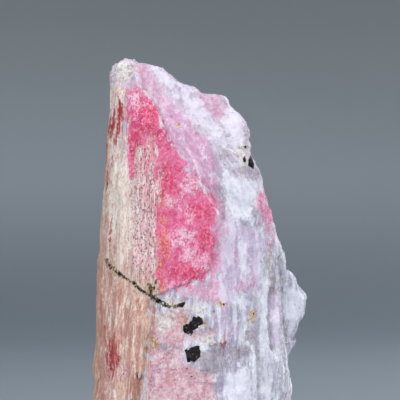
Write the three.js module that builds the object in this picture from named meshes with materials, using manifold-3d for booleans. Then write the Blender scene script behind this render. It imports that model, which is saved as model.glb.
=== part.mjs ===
// A tugtupite specimen: one broken splinter of rock, standing on a flat foot.
// A striated slab with the pink mineral in it lies over a paler mass, with a round white lobe behind its right edge
// and black grains grown into its surface.
// Millimetres, +Z up, seen from the front along +Y. The origin is under the middle of the stone, on the surface
// that it stands on.
import * as THREE from "three";
import { mergeVertices } from "three/addons/utils/BufferGeometryUtils.js";
import Module from "manifold-3d";

// Driving dimensions.
const HEIGHT = 52;
const BELOW_FOOT = 2; // of rock that the flat foot cuts away
const MIDDLE = { x: -0.142, y: 1.171 }; // of the finished stone, brought over the origin
const SKIN_SPACING = 1.08; // between the points of the skin
const EDGE_WEAR = 0.5; // over which worn edges are rounded
const LOBE_WEAR = 1.4; // the same on the round lobe
const SLAB_STEP = 0.45; // from the paler mass up to the slab's face
const PLATE_STEP = 0.9; // the same for the plate on the back
const MARGIN = 2.5; // of empty space round the stone while its skin is made
const FURTHEST_MOVE = 0.25; // of a point of the skin, on to the surface
const FILLING = 0.1; // how far inside the stone a filled corner of the grid counts as

// Outlines seen from the front, as [x, z].
const BODY_OUTLINE = [
  [-10.9, -BELOW_FOOT],
  [-11.2, 3],
  [-11.75, 8],
  [-11.95, 21],
  [-11.9, 27.5],
  [-11.3, 30.6],
  [-10.35, 34.5],
  [-10.15, 38],
  [-9.9, 45.5],
  [-9.8, 49],
  [-9.35, 51],
  [-8.1, HEIGHT],
  [-6.5, 51.2],
  [-5.15, 50.45],
  [-4.45, 50.25],
  [-2.45, 48.85],
  [-1.8, 48.65],
  [0.1, 48.15],
  [1.6, 48.05],
  [3.45, 47.85],
  [4.65, 45.25],
  [5.1, 42.95],
  [5.75, 40.55],
  [6.65, 38.9],
  [6.8, 37.65],
  [7.95, 34.4],
  [9.2, 29.8],
  [9.5, 25],
  [9.75, 20.5],
  [9.6, 17.5],
  [10.2, 9],
  [10.1, 3],
  [9.5, -BELOW_FOOT],
];
const SLAB_OUTLINE = [
  [-14, -4],
  [-14, 54],
  [-8.6, 54],
  [-7.3, 51.1],
  [-6.1, 48.5],
  [-4.7, 46.8],
  [-3.7, 43.9],
  [-3.4, 42.6],
  [-1.7, 40.6],
  [-1, 39.1],
  [1.1, 37.5],
  [2.2, 34.9],
  [1.6, 32.4],
  [1.4, 28.9],
  [-1.5, 27.3],
  [-4.9, 25.7],
  [-5.5, 22],
  [-7.3, 14.4],
  [-8.7, -4],
];
const PLATE_OUTLINE = [
  [-4.2, -3],
  [-2.6, 9],
  [-4, 17],
  [-1.4, 25],
  [0, 32],
  [3.6, 36],
  [5, 41],
  [14, 43],
  [14, -3],
];
const LOBE_OUTLINE = [
  [5.5, 32],
  [9.15, 28.95],
  [10.55, 27.45],
  [11.5, 25.5],
  [11.35, 23.8],
  [10.35, 21.15],
  [9.45, 18.4],
  [5.5, 13],
];

// The faces that the stone broke along: a point on each, the compass turn of its outside from the front towards the
// right, in degrees, and how far it leans back from upright.
const FRONT_FACES = [
  { x: -10.9, y: -0.7, z: 26, turn: -62, lean: 2 },
  { x: -8.5, y: -4.4, z: 26, turn: -27, lean: 3 },
  { x: -3, y: -6, z: 26, turn: -3, lean: 3 },
  { x: 3.4, y: -5.5, z: 26, turn: 20, lean: 4 },
  { x: 7.3, y: -3.5, z: 26, turn: 47, lean: 2 },
  { x: 3, y: -2.1, z: 45.2, turn: 24, lean: 27 },
  { x: -8, y: -2.1, z: 50.5, turn: -8, lean: 24 },
  { x: 2, y: -6.6, z: 3, turn: 8, lean: -28 },
];
const BACK_FACES = [
  { x: -10.6, y: 3, z: 26, turn: -118, lean: 3 },
  { x: -6, y: 6.2, z: 26, turn: -155, lean: 3 },
  { x: 2, y: 7.4, z: 26, turn: 174, lean: 4 },
  { x: 7.4, y: 5.6, z: 26, turn: 131, lean: 2 },
  { x: -2, y: 3.9, z: 44.4, turn: 168, lean: 22 },
  { x: -9.8, y: 5.3, z: 2, turn: -140, lean: -30 },
];
const LOBE_FACES = [
  { x: 11, y: 1.4, z: 25, turn: 30, lean: 2 },
  { x: 12.2, y: 5, z: 25, turn: 100, lean: 3 },
  { x: 9, y: 6.6, z: 25, turn: 165, lean: 1 },
];

// Relief of the broken surface: each cell of the rock stands out as a blunt flat-sided point, and those that stand
// out furthest meet in creases.
const LUMP_SIZE = 4.2;
const LUMP_HEIGHT = 0.45;
const LUMP_TILT = 0.25;
const LUMP_SLOPE = 0.24; // of a lump's flat sides
const CREASE_LEVEL = -0.1; // of the relief that counts as level
const FURTHEST_RELIEF = 0.8; // in or out from the level surface
// The three directions that the rock breaks across, square to each other and slanting through the specimen.
const GRAIN_DIRECTIONS = [
  [0.74, 0.49, 0.46],
  [-0.61, 0.78, 0.15],
  [-0.28, -0.39, 0.88],
];
// Ribs run up the slab and blades up the mass's right flank, both nearly upright.
const RIDGE_SKEW = 0.7; // how far they shift across, per millimetre back
const RIBS = { from: -4.6, to: -7, low: 60, high: 50, pitch: 2.3, depth: 0.3, slant: 0.045 };
const BLADES = { from: 4.6, to: 6.6, low: 33, high: 27, pitch: 2.5, depth: 0.5, slant: -0.03 };

// Black grains: where each lies seen from its own side, its width and height, how far it stands out, and its turn
// in degrees. Side 1 is the front and -1 the back.
const BLACK_GRAINS = [
  { x: -0.72, z: 19.5, wide: 1.75, high: 1.9, out: 0.35, turn: 12, side: 1 },
  { x: -0.28, z: 22.95, wide: 1.1, high: 1.05, out: 0.35, turn: 40, side: 1 },
  { x: -1.15, z: 22.25, wide: 1.15, high: 1, out: 0.35, turn: 65, side: 1 },
  { x: -1.95, z: 24.85, wide: 1.15, high: 1.1, out: 0.3, turn: 20, side: 1 },
  { x: 5.75, z: 40.5, wide: 0.8, high: 1.5, out: 0.3, turn: -15, side: 1 },
  { x: 4.95, z: 40.8, wide: 0.6, high: 1.1, out: 0.25, turn: 5, side: 1 },
  { x: -3.4, z: 31.5, wide: 1.5, high: 1.7, out: 0.35, turn: 30, side: -1 },
  { x: 4.1, z: 17.2, wide: 1.9, high: 1.4, out: 0.35, turn: -20, side: -1 },
  { x: 2.9, z: 15.6, wide: 1.1, high: 1.2, out: 0.3, turn: 50, side: -1 },
  { x: -6.2, z: 10.4, wide: 1.2, high: 1, out: 0.3, turn: 8, side: -1 },
];
const GRAIN_DEPTH = 1.3; // of a whole grain, front to back
const ON_SURFACE = 0.02; // how close to the stone counts as touching it
const CAREFUL = 0.7; // of the distance to the stone that is safe to cross at once
const REACH = 12; // to either side of the stone's middle plane, beyond its faces

const wasm = await Module();
wasm.setup();

function solidOf(geometry) {
  const bare = geometry.clone();
  bare.deleteAttribute("normal");
  bare.deleteAttribute("uv");
  const merged = mergeVertices(bare, 1e-4);
  return new wasm.Manifold(
    new wasm.Mesh({
      numProp: 3,
      vertProperties: new Float32Array(merged.attributes.position.array),
      triVerts: new Uint32Array(merged.index.array),
    }),
  );
}

function geometryOf(solid) {
  const mesh = solid.getMesh();
  const geometry = new THREE.BufferGeometry();
  geometry.setAttribute("position", new THREE.BufferAttribute(mesh.vertProperties, mesh.numProp));
  geometry.setIndex(new THREE.BufferAttribute(mesh.triVerts, 1));
  geometry.computeVertexNormals();
  return geometry;
}

// The distance from a point to an outline, less than zero inside it.
function outlineDistance(outline, x, z) {
  let nearest = Infinity;
  let inside = false;
  outline.forEach(([x1, z1], i) => {
    const [x0, z0] = outline[(i + outline.length - 1) % outline.length];
    const [ex, ez] = [x1 - x0, z1 - z0];
    const along = THREE.MathUtils.clamp(((x - x0) * ex + (z - z0) * ez) / (ex * ex + ez * ez), 0, 1);
    nearest = Math.min(nearest, Math.hypot(x - x0 - along * ex, z - z0 - along * ez));
    if (z0 > z !== z1 > z && x < x0 + ((z - z0) * ex) / ez) inside = !inside;
  });
  return inside ? -nearest : nearest;
}

// The distance in front of a break face.
function faceDistance({ x: x0, y: y0, z: z0, turn, lean }, x, y, z) {
  const [yaw, tilt] = [THREE.MathUtils.degToRad(turn), THREE.MathUtils.degToRad(lean)];
  const level = Math.sin(yaw) * (x - x0) - Math.cos(yaw) * (y - y0);
  return level * Math.cos(tilt) + Math.sin(tilt) * (z - z0);
}

// The larger of two distances, with the edge between them rounded.
function worn(a, b, wear) {
  const near = Math.max(wear - Math.abs(a - b), 0) / wear;
  return Math.max(a, b) + (near * near * wear) / 4;
}

// The distance outside a group of break faces.
function facesDistance(faces, wear, x, y, z) {
  return faces.map((face) => faceDistance(face, x, y, z)).reduce((a, b) => worn(a, b, wear));
}

function stoneDistance(x, y, z) {
  const silhouette = outlineDistance(BODY_OUTLINE, x, z);
  const front = facesDistance(FRONT_FACES, EDGE_WEAR, x, y, z);
  const back = facesDistance(BACK_FACES, EDGE_WEAR, x, y, z);
  const mass = [front + SLAB_STEP, back + PLATE_STEP].reduce((a, b) => worn(a, b, EDGE_WEAR), silhouette);
  const slab = Math.max(worn(silhouette, front, EDGE_WEAR), back + PLATE_STEP, outlineDistance(SLAB_OUTLINE, x, z));
  const plate = Math.max(worn(silhouette, back, EDGE_WEAR), front + SLAB_STEP, outlineDistance(PLATE_OUTLINE, x, z));
  const lobe = worn(facesDistance(LOBE_FACES, LOBE_WEAR, x, y, z), outlineDistance(LOBE_OUTLINE, x, z), LOBE_WEAR);
  return Math.min(mass, slab, plate, lobe);
}

// A repeatable random number from 0 to 1 for each whole-numbered cell of space.
function cellRandom(i, j, k, salt) {
  const s = Math.sin(i * 127.1 + j * 311.7 + k * 74.7 + salt * 53.3) * 43758.5453;
  return s - Math.floor(s);
}

// Upright ridges: sharp grooves between rounded backs, fading in across the stone and down it.
function ridges({ from, to, low, high, pitch, depth, slant }, x, y, z) {
  const faded = THREE.MathUtils.smoothstep((x - from) / (to - from), 0, 1);
  const reached = THREE.MathUtils.smoothstep((z - low) / (high - low), 0, 1);
  const across = (x - RIDGE_SKEW * y - slant * z) / pitch;
  const groove = Math.abs(across - Math.round(across)) * 2;
  return -depth * faded * reached * groove ** 3;
}

// How far the broken surface stands out at a point.
function relief(x, y, z) {
  const cell = [x, y, z].map((v) => Math.floor(v / LUMP_SIZE));
  let rise = -Infinity;
  for (let n = 0; n < 27; n++) {
    const c = [(n % 3) - 1, (Math.floor(n / 3) % 3) - 1, Math.floor(n / 9) - 1].map((step, a) => step + cell[a]);
    const away = [x, y, z].map((v, a) => v - (c[a] + cellRandom(...c, a)) * LUMP_SIZE);
    const tilted = away.reduce((sum, v, a) => sum + v * (cellRandom(...c, a + 3) - 0.5) * LUMP_TILT, 0);
    const across = GRAIN_DIRECTIONS.map((d) => Math.abs(d[0] * away[0] + d[1] * away[1] + d[2] * away[2]));
    rise = Math.max(rise, cellRandom(...c, 6) * LUMP_HEIGHT + tilted - Math.max(...across) * LUMP_SLOPE);
  }
  const whole = rise - CREASE_LEVEL + ridges(RIBS, x, y, z) + ridges(BLADES, x, y, z);
  return THREE.MathUtils.clamp(whole, -FURTHEST_RELIEF, FURTHEST_RELIEF);
}

// The distance outside the broken surface.
function roughDistance(x, y, z) {
  const distance = stoneDistance(x, y, z);
  return Math.abs(distance) > 2 * FURTHEST_RELIEF ? distance : distance - relief(x, y, z);
}

function outward(x, y, z) {
  const e = 0.15;
  return new THREE.Vector3(
    roughDistance(x + e, y, z) - roughDistance(x - e, y, z),
    roughDistance(x, y + e, z) - roughDistance(x, y - e, z),
    roughDistance(x, y, z + e) - roughDistance(x, y, z - e),
  ).normalize();
}

// The closed skin where a distance is zero: one point in each cube of space that the surface passes through, and
// one four-sided face across each cube edge that it cuts.
function skinOf(distance, low, high, spacing) {
  const count = low.map((v, a) => Math.ceil((high[a] - v) / spacing) + 1);
  const step = [1, count[0], count[0] * count[1]];
  const place = (i, a) => low[a] + i * spacing;
  const value = new Float32Array(count[0] * count[1] * count[2]);
  const each = (visit) => {
    for (let k = 0; k < count[2]; k++)
      for (let j = 0; j < count[1]; j++) for (let i = 0; i < count[0]; i++) visit(i, j, k, i + j * step[1] + k * step[2]);
  };
  each((i, j, k, n) => {
    value[n] = distance(place(i, 0), place(j, 1), place(k, 2));
  });
  // Where the surface crosses a square of the grid twice the skin would pinch, so the corner nearest to it is filled.
  let pinched = true;
  while (pinched) {
    pinched = false;
    each((i, j, k, n) => {
      [0, 1, 2].forEach((a) => {
        const [b, c] = [(a + 1) % 3, (a + 2) % 3];
        const square = [n, n + step[b], n + step[b] + step[c], n + step[c]];
        const [p, q, r, s] = square.map((corner) => value[corner] < 0);
        if (p !== r || q !== s || p === q) return;
        const open = square.filter((corner) => value[corner] >= 0);
        value[value[open[0]] < value[open[1]] ? open[0] : open[1]] = -FILLING;
        pinched = true;
      });
    });
  }

  const corners = [0, 1, 2, 3, 4, 5, 6, 7].map((c) => [c & 1, (c >> 1) & 1, (c >> 2) & 1]);
  const points = [];
  const pointOf = new Int32Array(value.length).fill(-1);
  each((i, j, k, n) => {
    if (i === count[0] - 1 || j === count[1] - 1 || k === count[2] - 1) return;
    const crossing = new THREE.Vector3();
    let crossings = 0;
    corners.forEach((from, c) => {
      [0, 1, 2].forEach((a) => {
        if (from[a]) return;
        const to = corners[c | (1 << a)];
        const v0 = value[n + from[0] * step[0] + from[1] * step[1] + from[2] * step[2]];
        const v1 = value[n + to[0] * step[0] + to[1] * step[1] + to[2] * step[2]];
        if (v0 < 0 === v1 < 0) return;
        const at = [...from];
        at[a] += v0 / (v0 - v1);
        crossing.add(new THREE.Vector3(...at));
        crossings++;
      });
    });
    if (!crossings) return;
    crossing.divideScalar(crossings);
    pointOf[n] = points.length;
    points.push([place(i + crossing.x, 0), place(j + crossing.y, 1), place(k + crossing.z, 2)]);
  });

  const index = [];
  each((i, j, k, n) => {
    [0, 1, 2].forEach((a) => {
      const [b, c] = [(a + 1) % 3, (a + 2) % 3];
      const here = [i, j, k];
      if (here[a] === count[a] - 1 || !here[b] || !here[c] || value[n] < 0 === value[n + step[a]] < 0) return;
      const ring = [0, step[b], step[b] + step[c], step[c]].map((back) => pointOf[n - back]);
      if (value[n] >= 0) ring.reverse();
      index.push(ring[0], ring[1], ring[2], ring[0], ring[2], ring[3]);
    });
  });
  return { points, index };
}

function bareStone() {
  const xs = [...BODY_OUTLINE, ...LOBE_OUTLINE].map(([x]) => x);
  const low = [Math.min(...xs) - MARGIN, -REACH, -BELOW_FOOT - MARGIN];
  const high = [Math.max(...xs) + MARGIN, REACH, HEIGHT + MARGIN];
  const { points, index } = skinOf(roughDistance, low, high, SKIN_SPACING);
  const position = points.flatMap(([x, y, z]) => {
    const move = THREE.MathUtils.clamp(-roughDistance(x, y, z), -FURTHEST_MOVE, FURTHEST_MOVE);
    return outward(x, y, z).multiplyScalar(move).add({ x, y, z }).toArray();
  });
  const geometry = new THREE.BufferGeometry();
  geometry.setAttribute("position", new THREE.Float32BufferAttribute(position, 3));
  geometry.setIndex(index);
  return geometry;
}

// A grain is a many-faced crystal, sunk into the surface where a line from its side meets the stone.
function blackGrain({ x, z, wide, high, out, turn, side }) {
  let y = -REACH * side;
  while (roughDistance(x, y, z) > ON_SURFACE) y += side * roughDistance(x, y, z) * CAREFUL;
  const grain = new THREE.DodecahedronGeometry(0.5);
  grain.scale(wide, GRAIN_DEPTH, high);
  grain.rotateY(THREE.MathUtils.degToRad(turn));
  grain.translate(x, y + side * (GRAIN_DEPTH / 2 - out), z);
  return grain;
}

// The flat foot: everything below the surface that the stone stands on is cut away.
function belowFoot() {
  const size = 4 * REACH;
  return new THREE.BoxGeometry(size, size, size).translate(0, 0, -size / 2);
}

function stone() {
  const rough = BLACK_GRAINS.reduce((solid, grain) => solid.add(solidOf(blackGrain(grain))), solidOf(bareStone()));
  return geometryOf(rough.subtract(solidOf(belowFoot()))).translate(-MIDDLE.x, -MIDDLE.y, 0);
}

const tugtupite = new THREE.MeshStandardMaterial({ color: 0xdcaebd, roughness: 0.45, metalness: 0 });
const stoneMesh = new THREE.Mesh(stone(), tugtupite);
stoneMesh.name = "tugtupite_stone";

const specimen = new THREE.Group();
specimen.add(stoneMesh);
export default specimen;
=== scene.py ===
import math

import bmesh
import bpy
import numpy as np
from mathutils import Matrix, Vector
from mathutils.bvhtree import BVHTree


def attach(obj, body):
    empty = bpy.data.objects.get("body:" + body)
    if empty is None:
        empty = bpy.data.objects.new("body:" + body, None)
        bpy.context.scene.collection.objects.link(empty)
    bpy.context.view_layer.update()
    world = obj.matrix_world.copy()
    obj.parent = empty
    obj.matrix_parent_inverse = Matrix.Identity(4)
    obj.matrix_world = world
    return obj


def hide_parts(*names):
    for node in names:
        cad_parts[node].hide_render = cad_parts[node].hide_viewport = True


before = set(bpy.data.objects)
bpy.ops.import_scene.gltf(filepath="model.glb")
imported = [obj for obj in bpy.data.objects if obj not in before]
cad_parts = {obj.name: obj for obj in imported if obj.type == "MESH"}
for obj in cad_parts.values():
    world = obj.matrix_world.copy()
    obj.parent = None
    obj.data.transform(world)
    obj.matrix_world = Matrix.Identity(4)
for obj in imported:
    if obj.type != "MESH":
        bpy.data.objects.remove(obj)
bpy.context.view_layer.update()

# The stone's form.
# One splinter of broken rock: a striated slab lies over a paler mass, a plate over its back, and a round lobe
# stands behind its right edge. Sizes are in millimetres, and outlines are [x, z] as seen from the front.
PER_METRE = 1000
HEIGHT = 52.0
BELOW_FOOT = 2.0
MIDDLE = np.array([-0.142, 1.171, 0.0])
SKIN_SPACING = 0.24
FOOT_NEARNESS = 1e-4
EDGE_WEAR = 0.5
LOBE_WEAR = 1.4
SLAB_STEP = 0.45
PLATE_STEP = 0.9
FRONT_REACH = 9.0
BACK_REACH = 12.0
MARGIN = 1.0

BODY_OUTLINE = [
    (-10.9, -BELOW_FOOT), (-11.2, 3), (-11.75, 8), (-11.95, 21), (-11.9, 27.5), (-11.3, 30.6),
    (-10.35, 34.5), (-10.15, 38), (-9.9, 45.5), (-9.8, 49), (-9.35, 51), (-8.1, HEIGHT), (-6.5, 51.2),
    (-5.15, 50.45), (-4.45, 50.25), (-2.45, 48.85), (-1.8, 48.65), (0.1, 48.15), (1.6, 48.05),
    (3.45, 47.85), (4.65, 45.25), (5.1, 42.95), (5.75, 40.55), (6.65, 38.9), (6.8, 37.65), (7.95, 34.4),
    (9.2, 29.8), (9.5, 25), (9.75, 20.5), (9.6, 17.5), (10.2, 9), (10.1, 3), (9.5, -BELOW_FOOT),
]
SLAB_OUTLINE = [
    (-14, -4), (-14, 54), (-8.6, 54), (-7.3, 51.1), (-6.1, 48.5), (-4.7, 46.8), (-3.7, 43.9), (-3.4, 42.6),
    (-1.7, 40.6), (-1, 39.1), (1.1, 37.5), (2.2, 34.9), (1.6, 32.4), (1.4, 28.9), (-1.5, 27.3), (-4.9, 25.7),
    (-5.5, 22), (-7.3, 14.4), (-8.7, -4),
]
PLATE_OUTLINE = [
    (-4.2, -3), (-2.6, 9), (-4, 17), (-1.4, 25), (0, 32), (3.6, 36), (5, 41), (14, 43), (14, -3),
]
LOBE_OUTLINE = [
    (5.5, 32), (9.15, 28.95), (10.55, 27.45), (11.5, 25.5), (11.35, 23.8), (10.35, 21.15), (9.45, 18.4),
    (5.5, 13),
]
# Break faces: a point on each, the turn of its outside from the front towards the right, and its lean back.
FRONT_FACES = [
    (-10.9, -0.7, 26, -62, 2), (-8.5, -4.4, 26, -27, 3), (-3, -6, 26, -3, 3), (3.4, -5.5, 26, 20, 4),
    (7.3, -3.5, 26, 47, 2), (3, -2.1, 45.2, 24, 27), (-8, -2.1, 50.5, -8, 24), (2, -6.6, 3, 8, -28),
]
BACK_FACES = [
    (-10.6, 3, 26, -118, 3), (-6, 6.2, 26, -155, 3), (2, 7.4, 26, 174, 4), (7.4, 5.6, 26, 131, 2),
    (-2, 3.9, 44.4, 168, 22), (-9.8, 5.3, 2, -140, -30),
]
LOBE_FACES = [(11, 1.4, 25, 30, 2), (12.2, 5, 25, 100, 3), (9, 6.6, 25, 165, 1)]

# Relief of the break: each cell of the rock ends in a blunt flat-sided point.
LUMP_SIZE = 4.2
LUMP_HEIGHT = 0.45
LUMP_TILT = 0.25
LUMP_SLOPE = 0.24
CREASE_LEVEL = -0.1
CHANCE_TURNS = (127.1, 311.7, 74.7, 53.3)
CHANCE_SPREAD = 43758.5453
FURTHEST_RELIEF = 0.8
GRAIN_DIRECTIONS = [(0.74, 0.49, 0.46), (-0.61, 0.78, 0.15), (-0.28, -0.39, 0.88)]
RIDGE_SKEW = 0.7
RIBS = dict(start=-4.6, end=-7, low=60, high=50, pitch=2.3, depth=0.3, slant=0.045)
BLADES = dict(start=4.6, end=6.6, low=33, high=27, pitch=2.5, depth=0.5, slant=-0.03)


def edge_distance(start, end, x, z):
    """How far points lie from a straight edge."""
    (x0, z0), (x1, z1) = start, end
    ex, ez = x1 - x0, z1 - z0
    along = np.clip(((x - x0) * ex + (z - z0) * ez) / (ex * ex + ez * ez), 0, 1)
    return np.hypot(x - x0 - along * ex, z - z0 - along * ez)


def outline_distance(outline, x, z):
    """How far outside a closed outline points lie, less than zero inside it."""
    nearest = np.full(np.broadcast(x, z).shape, np.inf)
    inside = np.zeros(nearest.shape, bool)
    for (x0, z0), (x1, z1) in zip(outline, outline[1:] + outline[:1]):
        nearest = np.minimum(nearest, edge_distance((x0, z0), (x1, z1), x, z))
        if z0 != z1:
            inside ^= ((z0 > z) != (z1 > z)) & (x < x0 + (z - z0) * (x1 - x0) / (z1 - z0))
    return np.where(inside, -nearest, nearest)


def worn(a, b, wear):
    """The larger of two distances, with the edge between them rounded."""
    near = np.maximum(wear - np.abs(a - b), 0) / wear
    return np.maximum(a, b) + near * near * wear / 4


def faces_distance(faces, wear, x, y, z):
    """How far points lie in front of a group of break faces."""
    whole = None
    for x0, y0, z0, turn, lean in faces:
        yaw, tilt = math.radians(turn), math.radians(lean)
        level = math.sin(yaw) * (x - x0) - math.cos(yaw) * (y - y0)
        face = level * math.cos(tilt) + math.sin(tilt) * (z - z0)
        whole = face if whole is None else worn(whole, face, wear)
    return whole


def stone_distance(x, y, z):
    """How far outside the unbroken form points lie: the mass, the slab, the plate and the lobe together."""
    silhouette = outline_distance(BODY_OUTLINE, x, z)
    front = faces_distance(FRONT_FACES, EDGE_WEAR, x, y, z)
    back = faces_distance(BACK_FACES, EDGE_WEAR, x, y, z)
    mass = worn(worn(silhouette, front + SLAB_STEP, EDGE_WEAR), back + PLATE_STEP, EDGE_WEAR)
    slab = np.maximum(worn(silhouette, front, EDGE_WEAR), back + PLATE_STEP)
    slab = np.maximum(slab, outline_distance(SLAB_OUTLINE, x, z))
    plate = np.maximum(worn(silhouette, back, EDGE_WEAR), front + SLAB_STEP)
    plate = np.maximum(plate, outline_distance(PLATE_OUTLINE, x, z))
    lobe = outline_distance(LOBE_OUTLINE, x, z)
    lobe = worn(faces_distance(LOBE_FACES, LOBE_WEAR, x, y, z), lobe, LOBE_WEAR)
    return np.minimum(np.minimum(mass, slab), np.minimum(plate, lobe))


def smooth(value, low, high):
    """Eases from 0 at low to 1 at high."""
    t = np.clip((value - low) / (high - low), 0, 1)
    return t * t * (3 - 2 * t)


def ridges(x, y, z, start, end, low, high, pitch, depth, slant):
    """Upright ridges: sharp grooves between rounded backs, fading in across the stone and down it."""
    across = (x - RIDGE_SKEW * y - slant * z) / pitch
    groove = np.abs(across - np.round(across)) * 2
    return -depth * smooth(x, start, end) * smooth(z, low, high) * groove**3


def relief(x, y, z):
    """How far the broken surface stands out."""
    place = np.stack([x, y, z])
    cell = np.floor(place / LUMP_SIZE)

    def chance(c, salt):
        """A number from 0 to 1 of a cell's own, another one for each salt."""
        turns = [v * turn for v, turn in zip((*c, salt), CHANCE_TURNS)]
        s = np.sin(turns[0] + turns[1] + turns[2] + turns[3]) * CHANCE_SPREAD
        return s - np.floor(s)

    rise = np.full(x.shape, -np.inf)
    for n in range(27):
        c = cell + np.array([n % 3 - 1, n // 3 % 3 - 1, n // 9 - 1])[:, None]
        away = place - (c + np.stack([chance(c, a) for a in range(3)])) * LUMP_SIZE
        tilted = sum(away[a] * (chance(c, a + 3) - 0.5) for a in range(3)) * LUMP_TILT
        off = [np.abs(d[0] * away[0] + d[1] * away[1] + d[2] * away[2]) for d in GRAIN_DIRECTIONS]
        rise = np.maximum(rise, chance(c, 6) * LUMP_HEIGHT + tilted - np.max(off, 0) * LUMP_SLOPE)
    whole = rise - CREASE_LEVEL + ridges(x, y, z, **RIBS) + ridges(x, y, z, **BLADES)
    return np.clip(whole, -FURTHEST_RELIEF, FURTHEST_RELIEF)


def rough_distance(x, y, z):
    """How far outside the broken surface, or below the flat foot, points lie."""
    distance = stone_distance(x, y, z)
    near = np.abs(distance) <= 2 * FURTHEST_RELIEF
    full = [np.broadcast_to(v, distance.shape)[near] for v in (x, y, z)]
    distance[near] -= relief(*full)
    return np.maximum(distance, -z)


def skin_of(low, high, spacing):
    """The points and four-sided faces of a closed skin round the stone, one point in each cube it crosses."""
    axes = [np.arange(a, b + spacing, spacing) for a, b in zip(low, high)]
    x, y, z = axes[0][:, None, None], axes[1][None, :, None], axes[2][None, None, :]
    value = rough_distance(x, y, z)
    inside = value < 0
    shape = tuple(n - 1 for n in value.shape)
    total, crossings = np.zeros(shape + (3,)), np.zeros(shape)
    cut = []
    for a in range(3):
        first = [slice(None)] * 3
        second = [slice(None)] * 3
        first[a], second[a] = slice(None, -1), slice(1, None)
        v0, v1 = value[tuple(first)], value[tuple(second)]
        crossed = inside[tuple(first)] != inside[tuple(second)]
        share = np.where(crossed, v0 / np.where(crossed, v0 - v1, 1), 0)
        cut.append(crossed)
        b, c = (a + 1) % 3, (a + 2) % 3
        for corner in range(4):
            step = {b: corner & 1, c: corner >> 1}
            window = [slice(None)] * 3
            for axis, off in step.items():
                window[axis] = slice(off, off + shape[axis])
            here = crossed[tuple(window)]
            crossings += here
            total[..., a] += share[tuple(window)] * here
            for axis, off in step.items():
                total[..., axis] += off * here
    number = np.full(shape, -1)
    cells = np.argwhere(crossings > 0)
    number[tuple(cells.T)] = np.arange(len(cells))
    middle = total[tuple(cells.T)] / crossings[tuple(cells.T)][:, None]
    points = np.array(low) + (cells + middle) * spacing
    faces = []
    for a in range(3):
        b, c = (a + 1) % 3, (a + 2) % 3
        at = np.argwhere(cut[a])
        at = at[(at[:, b] > 0) & (at[:, c] > 0) & (at[:, b] < shape[b]) & (at[:, c] < shape[c])]
        ring = []
        for off_b, off_c in ((0, 0), (1, 0), (1, 1), (0, 1)):
            back = at.copy()
            back[:, b] -= off_b
            back[:, c] -= off_c
            ring.append(number[tuple(back.T)])
        ring = np.stack(ring, 1)
        outwards = inside[tuple(at.T)]
        ring[~outwards] = ring[~outwards][:, ::-1]
        faces.append(ring)
    return points, np.concatenate(faces)


def drawn_to_surface(points, furthest=0.1, reach=0.05):
    """Moves each point along the surface's slope on to the surface."""
    here = rough_distance(*points.T)
    slope = np.stack([rough_distance(*(points + reach * np.eye(3)[a]).T) - here for a in range(3)], 1)
    slope /= np.maximum(np.linalg.norm(slope, axis=1, keepdims=True), 1e-6)
    return points - slope * np.clip(here, -furthest, furthest)[:, None]


xs = [x for x, z in BODY_OUTLINE + LOBE_OUTLINE]
low_corner = (min(xs) - MARGIN, -FRONT_REACH, -MARGIN)
high_corner = (max(xs) + MARGIN, BACK_REACH, HEIGHT + MARGIN)
skin, skin_faces = skin_of(low_corner, high_corner, SKIN_SPACING)
on_foot = skin[:, 2] < FOOT_NEARNESS
skin = np.where(on_foot[:, None], skin, drawn_to_surface(skin))
skin[:, 2] = np.maximum(skin[:, 2], 0)
skin -= MIDDLE


# The minerals in the stone.
# Each mineral fills some outlines, seen from the front on the stone's middle plane, and others at the back.
# An outline is a list of [x, z], and an oval is its middle and its half width and half height. The front ones
# count x from the eye.
EYE_RIGHT = 0.207
EYE_HEIGHT = 36.38
CAMERA_DISTANCE = 244.4
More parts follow.
